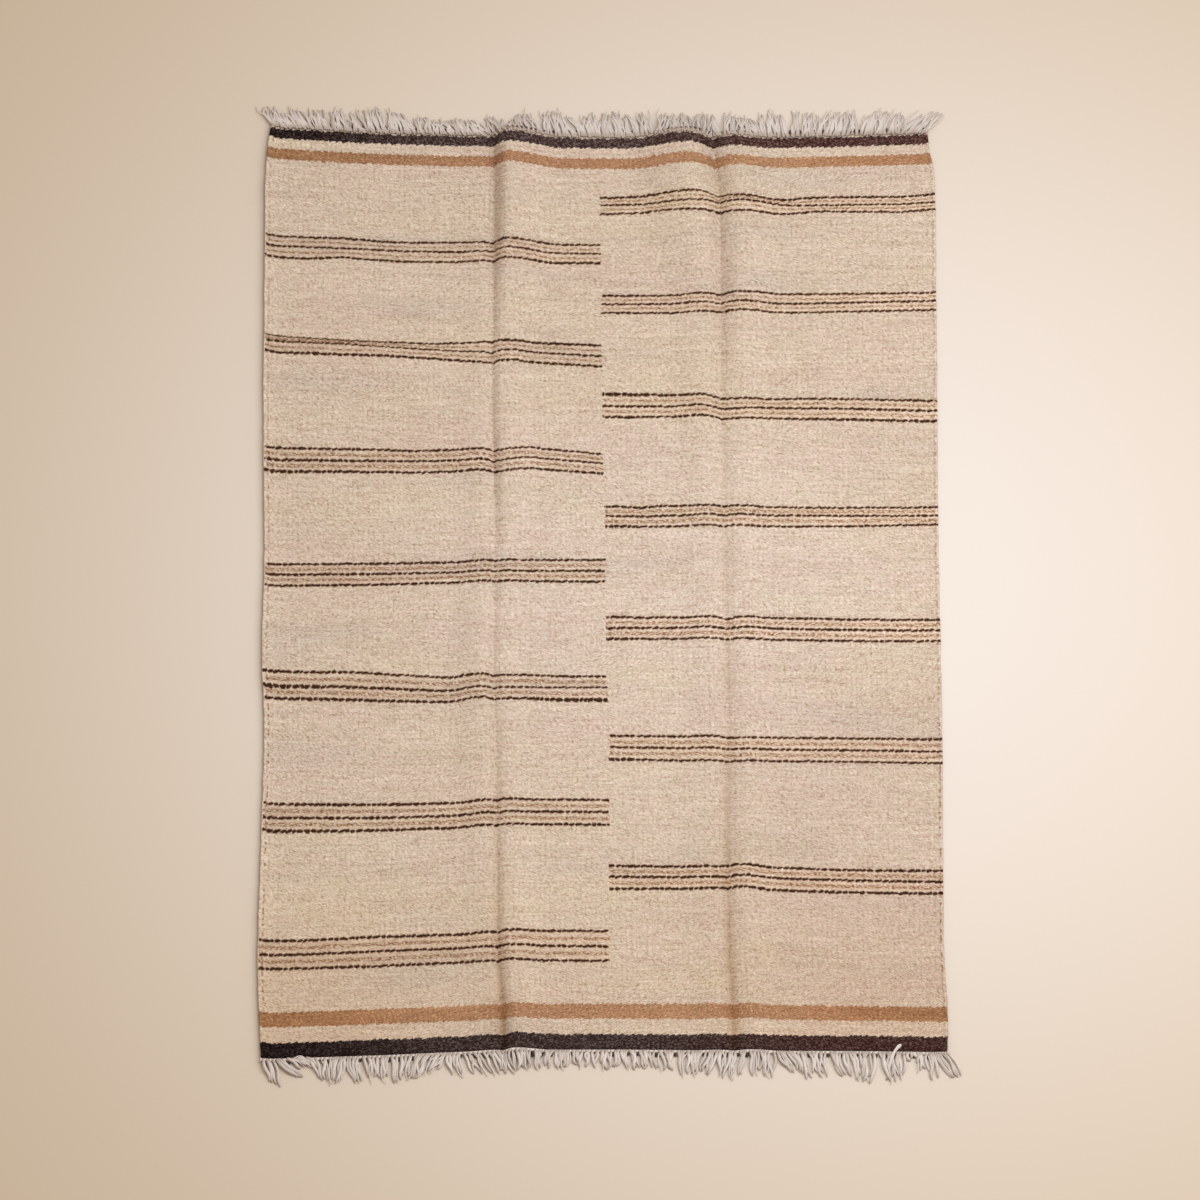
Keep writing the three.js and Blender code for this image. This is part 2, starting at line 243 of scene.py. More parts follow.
# The stripes: groups of three thin dark lines with a tan row in each gap, woven on the left and on the right
# of a join near the middle, and staggered. Each line is given at places across the cloth: how far along it
# lies and how thick it is, all in millimetres. The camel and dark bands at the ends run over the whole width.
left_stripes = (
    {
        "across": (-600, -530, -459, -420, -350, -250, -200, 1),
        "top": (667, 667, 668, 666, 664, 668, 668, 668),
        "middle": (647, 648, 648, 648, 647, 649, 651, 651),
        "bottom": (626, 624, 630, 628, 626, 629, 632, 632),
        "top_thick": (3.4, 3.2, 4.2, 4.2, 3.6, 3.0, 3.6, 3.0),
        "middle_thick": (3.4, 3.4, 3.2, 3.0, 3.0, 3.6, 2.8, 3.2),
        "bottom_thick": (4.4, 4.4, 3.4, 3.4, 3.4, 3.6, 3.4, 4.0),
    },
    {
        "across": (-600, -459, -388, -299, -196, -153, 1),
        "top": (472, 467, 466, 466, 473, 475, 470),
        "middle": (462, 460, 457, 455, 452, 457, 449),
        "bottom": (441, 440, 440, 438, 432, 437, 429),
        "top_thick": (1.8, 2.0, 2.6, 3.0, 3.8, 4.2, 4.2),
        "middle_thick": (3.0, 2.6, 1.7, 2.3, 2.8, 3.0, 3.6),
        "bottom_thick": (4.4, 4.4, 4.4, 3.9, 4.0, 4.0, 3.9),
    },
    {
        "across": (-600, -400, -330, -240, -210, -175, -122, 3),
        "top": (265, 264, 262, 265, 265, 260, 269, 257),
        "middle": (244, 243, 243, 245, 245, 240, 250, 239),
        "bottom": (223, 223, 222, 224, 224, 219, 229, 219),
        "top_thick": (3.8, 3.2, 3.2, 3.2, 3.1, 3.2, 3.2, 2.8),
        "middle_thick": (4.8, 3.3, 3.0, 3.4, 3.4, 2.7, 2.7, 2.8),
        "bottom_thick": (4.8, 3.4, 3.3, 3.6, 3.5, 3.1, 3.1, 3.5),
    },
    {
        "across": (-600, -400, -250, -130, 5),
        "top": (45, 47, 49, 52, 51),
        "middle": (23, 26, 29, 31, 30),
        "bottom": (-1, 4, 9, 11, 9),
        "top_thick": (3.6, 3.5, 3.2, 3.0, 3.0),
        "middle_thick": (4.2, 3.8, 2.7, 3.1, 3.6),
        "bottom_thick": (4.0, 3.8, 3.7, 3.4, 3.4),
    },
    {
        "across": (-600, -500, -450, -350, -262, -235, -190, -130, -60, 11),
        "top": (-172, -171, -169, -173, -177, -175, -173, -171, -174, -174),
        "middle": (-198, -197, -196, -199, -202, -199, -197, -194, -195, -195),
        "bottom": (-220, -219, -219, -221, -222, -219, -218, -216, -219, -219),
        "top_thick": (4.3, 3.8, 3.6, 3.2, 3.6, 3.6, 3.2, 3.1, 3.2, 3.2),
        "middle_thick": (7.0, 4.5, 4.2, 4.1, 3.2, 3.1, 2.9, 2.6, 2.5, 2.4),
        "bottom_thick": (4.4, 4.3, 4.3, 3.8, 3.1, 3.1, 3.4, 4.1, 6.1, 6.0),
    },
    {
        "across": (-600, -540, -400, -240, -180, -100, 12),
        "top": (-407, -408, -410, -412, -409, -409, -411),
        "middle": (-433, -433, -435, -436, -433, -432, -434),
        "bottom": (-457, -458, -459, -459, -457, -456, -458),
        "top_thick": (5.2, 4.5, 3.9, 3.9, 3.6, 3.4, 3.6),
        "middle_thick": (4.1, 4.1, 4.3, 3.8, 3.6, 3.4, 3.4),
        "bottom_thick": (5.7, 5.0, 4.4, 3.7, 3.7, 3.8, 3.9),
    },
    {
        "across": (-600, -520, -400, -240, -130, 16),
        "top": (-661, -664, -662, -662, -658, -660),
        "middle": (-688, -690, -689, -688, -686, -689),
        "bottom": (-714, -716, -717, -715, -714, -716),
        "top_thick": (4.2, 4.0, 3.8, 4.1, 3.6, 3.2),
        "middle_thick": (4.2, 3.7, 3.4, 3.6, 3.7, 4.0),
        "bottom_thick": (4.7, 3.9, 3.9, 3.7, 3.6, 3.4),
    },
)
right_stripes = (
    {
        "across": (1, 60, 97, 170, 205, 215, 245, 310, 385, 535, 600),
        "top": (761, 763, 764, 764, 763, 762, 757, 752, 757, 754, 757),
        "middle": (747, 748, 748, 745, 750, 750, 747, 743, 741, 739, 741),
        "bottom": (729, 731, 733, 726, 730, 729, 726, 723, 729, 723, 727),
        "top_thick": (4.2, 3.9, 3.8, 3.5, 2.0, 2.4, 3.6, 4.1, 4.0, 3.5, 4.2),
        "middle_thick": (3.5, 3.4, 3.2, 3.2, 3.2, 3.2, 3.3, 3.3, 3.2, 3.0, 3.1),
        "bottom_thick": (3.4, 3.4, 3.3, 3.4, 4.0, 5.4, 3.6, 3.4, 3.4, 3.4, 3.8),
    },
    {
        "across": (3, 140, 280, 360, 600),
        "top": (568, 568, 569, 567, 565),
        "middle": (551, 552, 551, 549, 550),
        "bottom": (534, 534, 534, 532, 533),
        "top_thick": (3.8, 3.3, 3.5, 3.4, 2.9),
        "middle_thick": (3.4, 3.4, 3.2, 3.3, 3.3),
        "bottom_thick": (3.4, 3.3, 3.3, 3.3, 3.0),
    },
    {
        "across": (4, 60, 105, 180, 230, 280, 450, 600),
        "top": (374, 374, 374, 373, 366, 369, 371, 369),
        "middle": (351, 351, 352, 353, 347, 352, 353, 351),
        "bottom": (330, 330, 332, 333, 328, 332, 333, 332),
        "top_thick": (5.8, 5.6, 4.2, 3.7, 3.7, 3.4, 3.1, 3.1),
        "middle_thick": (4.3, 4.0, 3.4, 3.4, 3.5, 3.5, 3.4, 3.7),
        "bottom_thick": (4.2, 3.9, 3.6, 3.4, 3.2, 3.1, 3.9, 4.3),
    },
    {
        "across": (7, 40, 71, 110, 360, 600),
        "top": (155, 154, 152, 156, 155, 157),
        "middle": (136, 136, 135, 137, 139, 140),
        "bottom": (116, 116, 115, 116, 117, 122),
        "top_thick": (3.5, 3.5, 3.4, 3.4, 2.8, 3.2),
        "middle_thick": (3.1, 3.1, 3.3, 3.4, 3.3, 2.9),
        "bottom_thick": (4.5, 4.3, 3.4, 2.9, 3.1, 3.1),
    },
    {
        "across": (11, 44, 70, 200, 226, 260, 600),
        "top": (-60, -60, -61, -62, -65, -61, -61),
        "middle": (-81, -81, -81, -82, -84, -81, -81),
        "bottom": (-102, -102, -102, -103, -105, -103, -101),
        "top_thick": (3.7, 3.6, 3.3, 3.3, 3.2, 3.2, 3.1),
        "middle_thick": (3.9, 3.7, 3.5, 3.4, 3.3, 3.4, 3.6),
        "bottom_thick": (4.6, 4.3, 3.1, 3.2, 3.3, 3.4, 3.1),
    },
    {
        "across": (15, 40, 60, 200, 240, 290, 600),
        "top": (-288, -288, -288, -288, -292, -289, -288),
        "middle": (-309, -310, -310, -310, -313, -311, -311),
        "bottom": (-333, -333, -333, -334, -336, -333, -333),
        "top_thick": (3.4, 3.3, 3.0, 3.0, 3.0, 3.1, 3.6),
        "middle_thick": (3.2, 3.2, 3.2, 3.1, 3.1, 3.1, 3.4),
        "bottom_thick": (5.0, 4.6, 3.4, 3.0, 2.9, 2.9, 2.9),
    },
    {
        "across": (18, 140, 200, 245, 290, 460, 600),
        "top": (-536, -538, -538, -534, -537, -538, -536),
        "middle": (-557, -558, -558, -555, -557, -557, -557),
        "bottom": (-580, -580, -580, -577, -580, -580, -579),
        "top_thick": (3.7, 3.9, 3.7, 3.5, 3.6, 3.6, 3.8),
        "middle_thick": (4.1, 3.7, 3.9, 4.0, 3.7, 3.6, 3.9),
        "bottom_thick": (4.1, 4.0, 4.0, 3.9, 3.8, 3.9, 4.2),
    },
)
line_names = ("top", "middle", "bottom")


def corner_values(point_values):
    """Values of the points, one for each corner of each face."""
    return point_values[corner_points]


def stripes_at(stripes, across, along):
    """How far along each corner lies from each line of the nearest group, and that line's thickness."""
    groups = [{name: in_metres(values) for name, values in group.items()} for group in stripes]
    group_middles = np.array([group["middle"].mean() for group in groups])
    face_along = along.reshape(-1, 4).mean(axis=1)
    nearest = np.repeat(np.abs(face_along[:, None] - group_middles).argmin(axis=1), 4)
    distance = np.zeros((len(across), 3))
    thick = np.zeros((len(across), 3))
    for number, group in enumerate(groups):
        here = nearest == number
        for line, name in enumerate(line_names):
            distance[here, line] = along[here] - np.interp(across[here], group["across"], group[name])
            thick[here, line] = np.interp(across[here], group["across"], group[f"{name}_thick"])
    return distance, thick


def keep(piece, name, domain, values):
    """Keeps a number, or three, at each corner or point of a piece's mesh, for its material to read."""
    kind, entry = ("FLOAT_VECTOR", "vector") if values.ndim == 2 else ("FLOAT", "value")
    made = piece.data.attributes.new(name, kind, domain)
    made.data.foreach_set(entry, values.astype(np.float32).ravel())


corner_points = np.empty(len(cloth.data.loops), np.int32)
cloth.data.loops.foreach_get("vertex_index", corner_points)
corner_across, corner_along = corner_values(across_of), corner_values(along_of)
for side, stripes in (("left", left_stripes), ("right", right_stripes)):
    line_distance, line_thick = stripes_at(stripes, corner_across, corner_along)
    keep(cloth, f"{side}_line_distance", "CORNER", line_distance)
    keep(cloth, f"{side}_line_thickness", "CORNER", line_thick)

cloth_map = cloth.data.uv_layers.active or cloth.data.uv_layers.new()
cloth_map.name = "flat_cloth"
corner_places = np.stack([corner_across, corner_along], axis=1)
cloth_map.data.foreach_set("uv", corner_places.astype(np.float32).ravel())

# Where the cloth was folded it is darkened, partly by soil and partly by painted shade in the creases, most
# towards the ends.
crease_shade_and_soil = {
    "along": (-0.883, -0.700, -0.430, -0.190, 0.030, 0.240, 0.450, 0.660, 0.883),
    "first": (0.90, 0.50, 0.22, 0.12, 0.08, 0.06, 0.04, 0.05, 0.22),
    "second": (0.85, 0.60, 0.38, 0.22, 0.18, 0.10, 0.12, 0.12, 0.22),
}
shade_and_soil_width = 0.0060
shade_and_soil_halo_width = 0.018
shade_and_soil_core_share = 0.65
shade_and_soil_of = np.zeros(len(along_of))
for name, crease_of in (("first", crease1_of), ("second", crease2_of)):
    strength = smooth_curve(crease_shade_and_soil["along"], crease_shade_and_soil[name], along_of)
    from_crease = across_of - crease_of
    core = np.exp(-((from_crease / shade_and_soil_width) ** 2))
    halo = np.exp(-((from_crease / shade_and_soil_halo_width) ** 2))
    shade_and_soil_of = np.maximum(shade_and_soil_of, strength * (shade_and_soil_core_share * core + (1 - shade_and_soil_core_share) * halo))
keep(cloth, "crease_shade_and_soil", "POINT", shade_and_soil_of)

bpy.ops.object.shade_smooth()
sheet_body = cloth.modifiers.new("sheet_body", "SOLIDIFY")
sheet_body.thickness = cloth_thickness
sheet_body.offset = -1
bpy.ops.object.modifier_apply(modifier=sheet_body.name)


class Wire:
    """One output of a material's nodes. Arithmetic on it adds Math nodes."""

    def __init__(self, tree, output=None):
        self.tree = tree
        self.output = output

    def node(self, kind, settings=None, sockets=None, output=0):
        made = self.tree.nodes.new(kind)
        for name, value in (settings or {}).items():
            setattr(made, name, value)
        for name, value in (sockets or {}).items():
            if isinstance(value, Wire):
                self.tree.links.new(value.output, made.inputs[name])
            else:
                made.inputs[name].default_value = value
        return Wire(self.tree, made.outputs[output])

    def math(self, operation, *values):
        return self.node("ShaderNodeMath", {"operation": operation}, dict(enumerate(values)))

    def __add__(self, other):
        return self.math("ADD", self, other)

    __radd__ = __add__

    def __sub__(self, other):
        return self.math("SUBTRACT", self, other)

    def __rsub__(self, other):
        return self.math("SUBTRACT", other, self)

    def __mul__(self, other):
        return self.math("MULTIPLY", self, other)

    __rmul__ = __mul__

    def __truediv__(self, other):
        return self.math("DIVIDE", self, other)

    def __abs__(self):
        return self.math("ABSOLUTE", self)

    def fraction(self):
        return self.math("FRACT", self)

    def larger(self, other):
        return self.math("MAXIMUM", self, other)

    def smaller(self, other):
        return self.math("MINIMUM", self, other)

    def fade(self, low, high):
        """0 below low and 1 above high, smooth between them."""
        limits = {"Value": self, "From Min": low, "From Max": high}
        return self.node("ShaderNodeMapRange", {"interpolation_type": "SMOOTHSTEP"}, limits)

    def pair(self, other):
        return self.node("ShaderNodeCombineXYZ", None, {"X": self, "Y": other})

    def cloud(self, across_size, along_size, seed=0.0, detail=1.0):
        """Smooth noise about 0, from about -0.5 to 0.5, over this place across and along the cloth."""
        spread = {"operation": "MULTIPLY_ADD"}
        stretch = {0: self, 1: (1 / across_size, 1 / along_size, 0), 2: (seed, -seed, seed)}
        place = self.node("ShaderNodeVectorMath", spread, stretch)
        look = {"Vector": place, "Scale": 1.0, "Detail": detail}
        return self.node("ShaderNodeTexNoise", {"noise_dimensions": "2D"}, look) - 0.5

    def cells(self, output):
        """Cells of uneven shape over this place: a random colour for each, or the distance to its middle."""
        look = {"Vector": self, "Scale": 1.0, "Randomness": 1.0}
        return self.node("ShaderNodeTexVoronoi", {"voronoi_dimensions": "2D"}, look, output)

    def kept(self, name, output="Vector"):
        """What the piece's own mesh keeps under a name."""
        return self.node("ShaderNodeAttribute", {"attribute_name": name}, {}, output)

    def part(self, axis):
        return self.node("ShaderNodeSeparateXYZ", None, {"Vector": self}, "XYZ".index(axis))

    def blend(self, share, first, second):
        """The first colour where share is 0 and the second where it is 1."""
        first, second = ((*dye, 1) if isinstance(dye, tuple) else dye for dye in (first, second))
        return self.node("ShaderNodeMix", {"data_type": "RGBA"}, {0: share, 6: first, 7: second}, 2)

    def tint(self, other, share):
        """This colour mixed towards the other."""
        return self.blend(share, self, other)

    def shaded(self, factor):
        """This colour, lighter or darker by a factor."""
        return self.node("ShaderNodeVectorMath", {"operation": "SCALE"}, {0: self, "Scale": factor})

    def dyed(self, other):
        """This colour times another, channel by channel."""
        return self.node("ShaderNodeVectorMath", {"operation": "MULTIPLY"}, {0: self, 1: other})

    def stained(self, stain, share):
        """This colour, dyed as far as share says."""
        return self.tint(self.dyed(stain), share)

    def raised(self, distance):
        """The surface with this height, times a distance, stood up on it."""
        return self.node("ShaderNodeBump", None, {"Height": self, "Distance": distance}, "Normal")

    def feed(self, shader, socket):
        self.tree.links.new(self.output, shader.inputs[socket])


def new_material(name, roughness, specular):
    """A material with a shader of this finish, and a wire to start its nodes from."""
    made = bpy.data.materials.new(name)
    made.use_nodes = True
    shader = made.node_tree.nodes["Principled BSDF"]
    shader.inputs["Roughness"].default_value = roughness
    shader.inputs["Specular IOR Level"].default_value = specular
    return made, shader, Wire(made.node_tree)


# The wool: hand-spun, undyed, fuzzy and uneven, packed so close that it shows as small pebbles in rows. Ivory
# beige makes the field, with slow changes of tone where one lot of yarn ended, and camel, tan and dark brown
# make the stripes. A colour named share is multiplied into the wool's, the others stand for themselves.
ivory_wool = (0.598, 0.488, 0.399)
pinkish_wool = (0.592, 0.466, 0.390)
yellowish_wool = (0.602, 0.498, 0.381)
greyish_wool = (0.563, 0.470, 0.397)
rosy_share = (1.015, 0.988, 0.990)
khaki_share = (0.990, 1.000, 0.965)
pool_of_light_share = (1.045, 1.055, 1.095)
near_end_shade_share = (0.935, 0.880, 0.815)
dusty_share = (0.945, 0.925, 0.935)
tan_share = (0.455, 0.290, 0.165)
ground_share = (1.020, 0.985, 0.955)
fuzz_share = (0.480, 0.330, 0.225)
camel_share = (0.664, 0.435, 0.287)
pale_camel_share = (1.010, 1.060, 1.150)
deep_share = (0.592, 0.488, 0.408)
bright_share = (1.408, 1.512, 1.592)
line_wool = (0.030, 0.013, 0.008)
line_wool_brown = (0.088, 0.043, 0.025)
dark_wool = (0.005, 0.002, 0.002)
dark_wool_brown = (0.048, 0.034, 0.033)
worn_dark_wool = (0.024, 0.012, 0.010)
worn_wool_brown = (0.125, 0.094, 0.090)
sunned_dark_wool = (0.029, 0.010, 0.008)
sunned_wool_brown = (0.128, 0.074, 0.066)
crease_shade_and_soil_share = (0.640, 0.520, 0.400)
pebble_width = 0.0042
pebble_height = 0.0034
stroke_slant = 0.42
dash_pitch = 0.0114
line_softness = 0.0008
line_fuzz = 0.0022
colour_edge = 0.0006
ground_inset = 0.001
rope_half_width = 0.0034
rope_width_lost = 0.0013
pale_cord_width = 0.0022
groove_share = (0.560, 0.400, 0.290)
cord_share = (1.080, 1.110, 1.160)
far_bands = {"dark": (0.860, 0.8795), "camel": (0.819, 0.840)}
near_bands = {"dark": (-0.900, -0.854), "camel": (-0.825, -0.797)}
join_at_far_end = 0.000
join_at_near_end = 0.015
join_run = 1.45

wool, wool_shader, start = new_material("woven_wool_stripes", roughness=0.95, specular=0.05)
place = start.node("ShaderNodeUVMap", {"uv_map": "flat_cloth"}, {})
across, along = place.part("X"), place.part("Y")

# The rows of weft wander a little. Each pass of weft over a warp shows as a short slanted stroke of wool,
# with a thin gap beside it that is painted darker as shade, and the slant changes over from one part of the
# cloth to the next.
row_wander = place.cloud(0.130, 0.045, 5.0) * 0.0080
wandering = across.pair(along + row_wander)
falling = across.pair(along + across * stroke_slant + row_wander)
rising = across.pair(along - across * stroke_slant * 0.7 + row_wander)
rises_here = place.cloud(0.300, 0.240, 14.0).fade(0.06, 0.14)


def strokes(across_size, along_size, seed):
    """Noise drawn out along the slant of the weft."""
    falls = falling.cloud(across_size, along_size, seed)
    rises = rising.cloud(across_size, along_size, seed + 40.0)
    return falls * (1.0 - rises_here) + rises * rises_here


stroke = strokes(0.0064, 0.0030, 2.0)
gap_between = abs(strokes(0.0090, 0.0046, 31.0)).fade(0.070, 0.0)
pebble_place = (across / pebble_width).pair(along / pebble_height)
pebble_tone = pebble_place.cells("Color").part("X") - 0.5
streak = wandering.cloud(0.050, 0.0038, 43.0)
long_streak = wandering.cloud(0.230, 0.0075, 9.0, 2.0)
fuzz = place.cloud(0.0026, 0.0021, 4.0)
mottle = wandering.cloud(0.034, 0.015, 47.0)
abrash = place.cloud(0.420, 0.070, 6.0)
hue_drift = place.cloud(0.330, 0.110, 12.0)

yarn_tone = 1.04 + pebble_tone * 0.12 + stroke * 0.62 + streak * 0.30 + long_streak * 0.24 + fuzz * 0.30
# Painted shade: the gaps between the strokes are darkened in the colour.
field_tone = yarn_tone + abrash * 0.08 - gap_between * 0.34
field = place.blend((abrash + 0.35).fade(0.0, 0.35), greyish_wool, ivory_wool)
field = field.tint(pinkish_wool, hue_drift.fade(0.0, 0.30) * 0.7)
field = field.tint(yellowish_wool, (0.0 - hue_drift).fade(0.0, 0.30) * 0.6)
rosy_field, khaki_field = field.dyed(rosy_share), field.dyed(khaki_share)
field = field.tint(rosy_field, mottle.fade(0.0, 0.24)).tint(khaki_field, mottle.fade(0.0, -0.24))

# The middle is painted lighter, a painted pool of light, and the near end is painted darker and warmer, most
# in its corners, as painted shade. The right side of that half is dusty.
pool_of_light_place = (across - 0.12) * (across - 0.12) / 0.60**2 + along * along / 0.42**2
# Painted light: the field is lighter about the middle.
field = field.stained(pool_of_light_share, pool_of_light_place.fade(1.0, 0.0))
near_end_shade_place = (0.0 - along).fade(0.40, 0.90) * (0.55 + (abs(across) - 0.10).fade(0.0, 0.40) * 0.55)
# Painted shade: the field is darker and warmer towards the near end and most towards its corners.
field = field.stained(near_end_shade_share, near_end_shade_place)
dusty_place = across.fade(0.05, 0.38) * along.fade(-0.05, -0.22) * along.fade(-0.82, -0.74)
field = field.stained(dusty_share, dusty_place)

# The dark yarn rises over a pair of warps, leans, and dips again, so its lines break into slanted dashes.
dash_drift = place.cloud(0.034, 0.020, 7.0) * 1.8
dash_phase = (across / dash_pitch + dash_drift).fraction() - 0.5
dash_lean = place.cloud(0.012, 0.024, 27.0) * 0.0030 - dash_phase * 0.0017
dash_dip = abs(dash_phase).fade(0.26, 0.47) * place.cloud(0.016, 0.022, 29.0).fade(-0.22, 0.08)
far_share = along.fade(0.15, 0.50)
dash_swell = 0.62 - far_share * 0.10 + place.cloud(0.0095, 0.020, 37.0) * 0.55
edge_fray = place.cloud(0.0030, 0.0034, 3.0) * 0.0020
join_slope = (join_at_far_end - join_at_near_end) / join_run
join = along * join_slope + (join_at_far_end + join_at_near_end) / 2
join_fray = place.cloud(0.020, 0.0045, 11.0) * 0.0060
from_join = across - join + join_fray
rope_speck = (strokes(0.0060, 0.0024, 61.0) * 1.3 + stroke * 0.3).fade(-0.09, 0.11)
rope_sway = place.cloud(0.018, 0.024, 51.0) * 0.0034


def rope_mask(off_row):
    """A tan row: a slack yarn that shows as soft specks, wider and fuller in the near groups."""
    half = (1.0 - far_share) * rope_width_lost + (rope_half_width - rope_width_lost)
    return (half - abs(off_row + rope_sway)).fade(-0.0016, 0.0016) * (rope_speck * 0.92 + 0.08)


def line_masks(side):
    """How much of this half's dark yarn, its brown fuzz, the tan yarn and the stripes' ground shows here."""
    distance = start.kept(f"{side}_line_distance")
    thick = start.kept(f"{side}_line_thickness")
    dark = halo = None
    for axis in "XYZ":
        from_line = abs(distance.part(axis) + dash_lean + edge_fray)
        within = thick.part(axis) * (dash_swell - dash_dip * (0.50 - far_share * 0.16)) - from_line
        line = within.fade(-line_softness, line_softness)
        line_halo = within.fade(-line_fuzz, 0.0)
        dark = line if dark is None else dark.larger(line)
        halo = line_halo if halo is None else halo.larger(line_halo)
    upper = (distance.part("X") + distance.part("Y")) * 0.5
    lower = (distance.part("Y") + distance.part("Z")) * 0.5
    tan = rope_mask(upper).larger(rope_mask(lower))
    below_top = (distance.part("X") - ground_inset).fade(colour_edge, -colour_edge)
    above_bottom = (distance.part("Z") + ground_inset).fade(-colour_edge, colour_edge)
    return dark, halo, tan, below_top * above_bottom


on_right = from_join.fade(-colour_edge, colour_edge)
cord_fray = place.cloud(0.060, 0.012, 57.0) * 0.010 + edge_fray
from_left_edge = across + cloth_width / 2 + cord_fray
inside_cord = from_left_edge.fade(pale_cord_width - colour_edge, pale_cord_width + colour_edge)
line_dark, line_halo, line_tan, line_ground = (
    (left * (1.0 - on_right) + right * on_right) * inside_cord
    for left, right in zip(line_masks("left"), line_masks("right"))
)

band_edge = along + dash_lean * 1.6 + edge_fray * 0.8


def band_mask(limits):
    """1 between two weft rows of the cloth."""
    low, high = limits
    return band_edge.fade(low - 0.0008, low + 0.0008) * band_edge.fade(high + 0.0008, high - 0.0008)


band_dark = band_mask(far_bands["dark"]).larger(band_mask(near_bands["dark"]))
band_camel = band_mask(far_bands["camel"]).larger(band_mask(near_bands["camel"]))

# The grain of each coloured yarn is its own: specks in the tan and camel, brown and grey hairs in the dark.
grain = place.cloud(0.0040, 0.0022, 15.0, 2.0)
light_from_right = across.fade(-0.75, 0.70)
worn_place = across.fade(-0.60, -0.22)
sunned_place = across.fade(0.00, 0.42)
at_far_end = along.fade(-0.1, 0.1)
tan_colour = field.dyed(tan_share).shaded(1.0 + grain * 1.30 + across * 0.15)
pale_speck = strokes(0.0050, 0.0026, 19.0).fade(0.08, 0.30)
towards_sides = (abs(across) - 0.25).fade(0.0, 0.35)
camel_depth = place.cloud(0.160, 0.030, 33.0) * 0.20 + towards_sides * (at_far_end * 0.05 - 0.16)
# Painted light: the camel at the far end is lighter towards the right.
camel_lit = light_from_right * at_far_end * 0.20 + (0.04 - at_far_end * 0.14)
camel_shade = 0.93 + grain * 0.90 + pale_speck * 0.75 + camel_depth + camel_lit
camel_colour = field.dyed(camel_share).shaded(camel_shade)
camel_pale = abs(across).fade(0.48, 0.32) * (1.0 - at_far_end * 0.4)
camel_colour = camel_colour.stained(pale_camel_share, camel_pale)
dark_grain = (strokes(0.0042, 0.0026, 17.0) * 1.2 + pebble_tone * 0.3).fade(-0.16, 0.42)
dark_hairs = place.blend(worn_place, dark_wool_brown, worn_wool_brown).tint(sunned_wool_brown, sunned_place)
dark_base = place.blend(worn_place, dark_wool, worn_dark_wool).tint(sunned_dark_wool, sunned_place)
dark_colour = dark_base.tint(dark_hairs, dark_grain)
dark_colour = dark_colour.shaded(1.0 + at_far_end * 0.40)

ground_colour = field.dyed(ground_share).shaded(1.0 + across * 0.14 + pale_speck * 0.12)
striped = field.tint(ground_colour, line_ground).tint(tan_colour, line_tan)
tone_share = place.blend(field_tone - 0.5, deep_share, bright_share)
cloth_colour = striped.tint(camel_colour, band_camel).dyed(tone_share)
cloth_colour = cloth_colour.stained(fuzz_share, line_halo * 0.75)
line_colour = place.blend(dark_grain, line_wool, line_wool_brown)
cloth_colour = cloth_colour.tint(line_colour, line_dark).tint(dark_colour, band_dark)
dark_cover = line_dark.larger(band_dark)

# Painted shade and soil in the creases, a dotted groove inside each selvedge, and a few dark hairs caught in
# the wool.
groove_inset = 0.0045
left_groove_inset = 0.0082
hair_share = (0.42, 0.36, 0.36)
hair_length = 0.013
hair_height = 0.0052
crease = start.kept("crease_shade_and_soil", "Fac")
shaded_and_soiled = (crease * (1.0 + stroke * 1.2)).smaller(1.0)
# Painted shade, with some soil: the creases are darkened and browned.
cloth_colour = cloth_colour.stained(crease_shade_and_soil_share, shaded_and_soiled)
to_side = cloth_width / 2 - abs(across)
on_left = across.fade(0.1, -0.1)
from_groove = abs(to_side - groove_inset - on_left * (left_groove_inset - groove_inset))
groove_dots = place.cloud(0.009, 0.0085, 21.0, 0.0).fade(-0.04, 0.10)
past_bands = along.fade(-0.84, -0.76)
groove_depth = (0.50 + along.fade(0.30, -0.60) * 0.40) * past_bands
groove = from_groove.fade(0.0024, 0.0008) * groove_dots * groove_depth
on_cord = to_side.fade(0.0068, 0.0048) * past_bands
cord_dash = place.cloud(0.0060, 0.0070, 25.0, 0.0).fade(-0.10, 0.14) * on_cord
cloth_colour = cloth_colour.stained(cord_share, cord_dash * (1.0 - dark_cover))
cloth_colour = cloth_colour.stained(groove_share, groove)
hair_place = (across / hair_length).pair(along / hair_height)
hair_pick = hair_place.cells("Color").part("Y").fade(0.955, 0.96)
hair = hair_place.cells("Distance").fade(0.16, 0.05) * hair_pick
cloth_colour = cloth_colour.stained(hair_share, hair * 0.8)

# Each stroke stands up from the gaps beside it. The lines and bands lie level with the field.
wool_relief = 0.00076
relief = stroke * 1.2 + fuzz * 0.6 - gap_between * 0.40
cloth_colour.feed(wool_shader, "Base Color")
relief.raised(wool_relief).feed(wool_shader, "Normal")
cloth.data.materials.append(wool)

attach(cloth, "root")
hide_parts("cloth")

